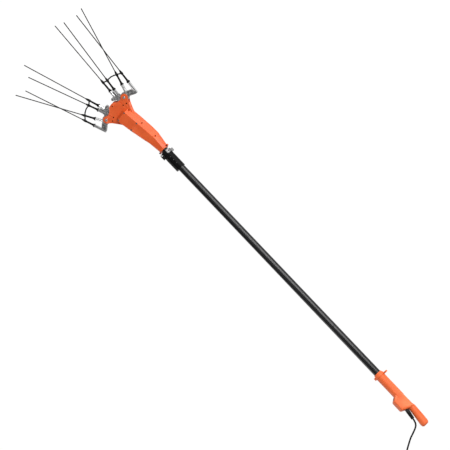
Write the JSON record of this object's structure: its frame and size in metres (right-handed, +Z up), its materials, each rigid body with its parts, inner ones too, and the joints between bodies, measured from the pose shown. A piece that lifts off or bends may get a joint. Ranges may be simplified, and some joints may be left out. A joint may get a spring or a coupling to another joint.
{
  "type": "electric olive harvester",
  "caption": "Telescopic pole tool for shaking olives from branches, with two beating tined hands on a motor head and a handle with a push button.",
  "frame": {"origin": "middle of the tool's bounding box, on the ground it lies on", "axes": "+X along the pole to the tines, +Z up, tool lying with its front side up"},
  "size_m": [2.6916, 0.5974, 0.2826],
  "materials": {
    "orange_plastic": "satin",
    "steel": "satin",
    "motor_steel": "satin",
    "gear_steel": "satin",
    "bronze": "satin",
    "cast_aluminium": "matte",
    "bright_aluminium": "satin",
    "black_aluminium": "satin",
    "black_plastic": "matte",
    "carbon": "satin",
    "red_plastic": "satin",
    "black_rubber": "matte"
  },
  "bodies": {
    "pole": {"outer_tube": "black_aluminium", "lock_sleeve": "black_plastic", "clamp_saddle": "bright_aluminium", "cam_base": "black_plastic", "cam_shoe": "bronze", "cam_pin": "steel", "handle_upper": "orange_plastic", "handle_lower": "orange_plastic", "handle_screws": "steel", "switch_body": "black_plastic", "cable_gland": "black_rubber", "power_cord": "black_rubber", "cord_plug": "black_plastic"},
    "head": {"front_cover": "orange_plastic", "rear_cover": "orange_plastic", "cover_screws": "steel", "motor_can": "motor_steel", "gearbox": "steel", "crank_axle": "steel", "right_pivot": "steel", "left_pivot": "steel", "inner_tube": "black_aluminium", "guide_bush": "black_plastic"},
    "pinion": {"drive_pinion": "gear_steel"},
    "crank": {"crank_gear": "gear_steel", "crank_roller": "steel"},
    "yoke": {"drive_yoke": "gear_steel"},
    "right": {"right_hand": "cast_aluminium", "right_bush": "bronze", "right_link_pin": "steel", "right_sockets": "bright_aluminium", "right_comb": "black_plastic", "right_tine_1": "carbon", "right_tine_2": "carbon", "right_tine_3": "carbon", "right_tine_4": "carbon"},
    "left": {"left_hand": "cast_aluminium", "left_bush": "bronze", "left_link_pin": "steel", "left_sockets": "bright_aluminium", "left_comb": "black_plastic", "left_tine_1": "carbon", "left_tine_2": "carbon", "left_tine_3": "carbon", "left_tine_4": "carbon"},
    "lever": {"cam_lever": "black_plastic"},
    "button": {"push_button": "red_plastic"}
  },
  "joints": [
    {"name": "telescope", "type": "slide", "parent": "pole", "child": "head", "axis": [1, 0, 0], "range_m": [0, 0.8]},
    {"name": "right_swing", "type": "hinge", "parent": "head", "child": "right", "pos_m": [0.80348, -0.076, 0.08673], "axis": [-0.2672, 0, 0.9636], "range_deg": [-9, 9]},
    {"name": "left_swing", "type": "hinge", "parent": "head", "child": "left", "pos_m": [0.80348, 0.076, 0.08673], "axis": [-0.2672, 0, 0.9636], "range_deg": [-9, 9]},
    {"name": "yoke_slide", "type": "slide", "parent": "head", "child": "yoke", "axis": [0.9636, 0, 0.2672], "range_m": [-0.00564, 0.00564]},
    {"name": "crank_spin", "type": "hinge", "parent": "head", "child": "crank", "pos_m": [0.74085, 0, 0.06936], "axis": [-0.2672, 0, 0.9636], "continuous": true},
    {"name": "pinion_spin", "type": "hinge", "parent": "head", "child": "pinion", "pos_m": [0.71848, 0, 0.07518], "axis": [0.9636, 0, 0.2672], "continuous": true},
    {"name": "lock_lever", "type": "hinge", "parent": "pole", "child": "lever", "pos_m": [0.49189, 0.02546, 0.03888], "axis": [0, 0.4787, -0.878], "range_deg": [0, 100]},
    {"name": "button_press", "type": "slide", "parent": "pole", "child": "button", "axis": [-0.8387, -0.3501, -0.4172], "range_m": [0, 0.0025], "stiffness_N_per_m": 600, "springref_m": -0.001}
  ],
  "couplings": [
    {"joint": "left_swing", "follows": "right_swing", "ratio": -1},
    {"joint": "yoke_slide", "follows": "right_swing", "m_per_rad": -0.035852},
    {"joint": "pinion_spin", "follows": "crank_spin", "ratio": 3}
  ]
}
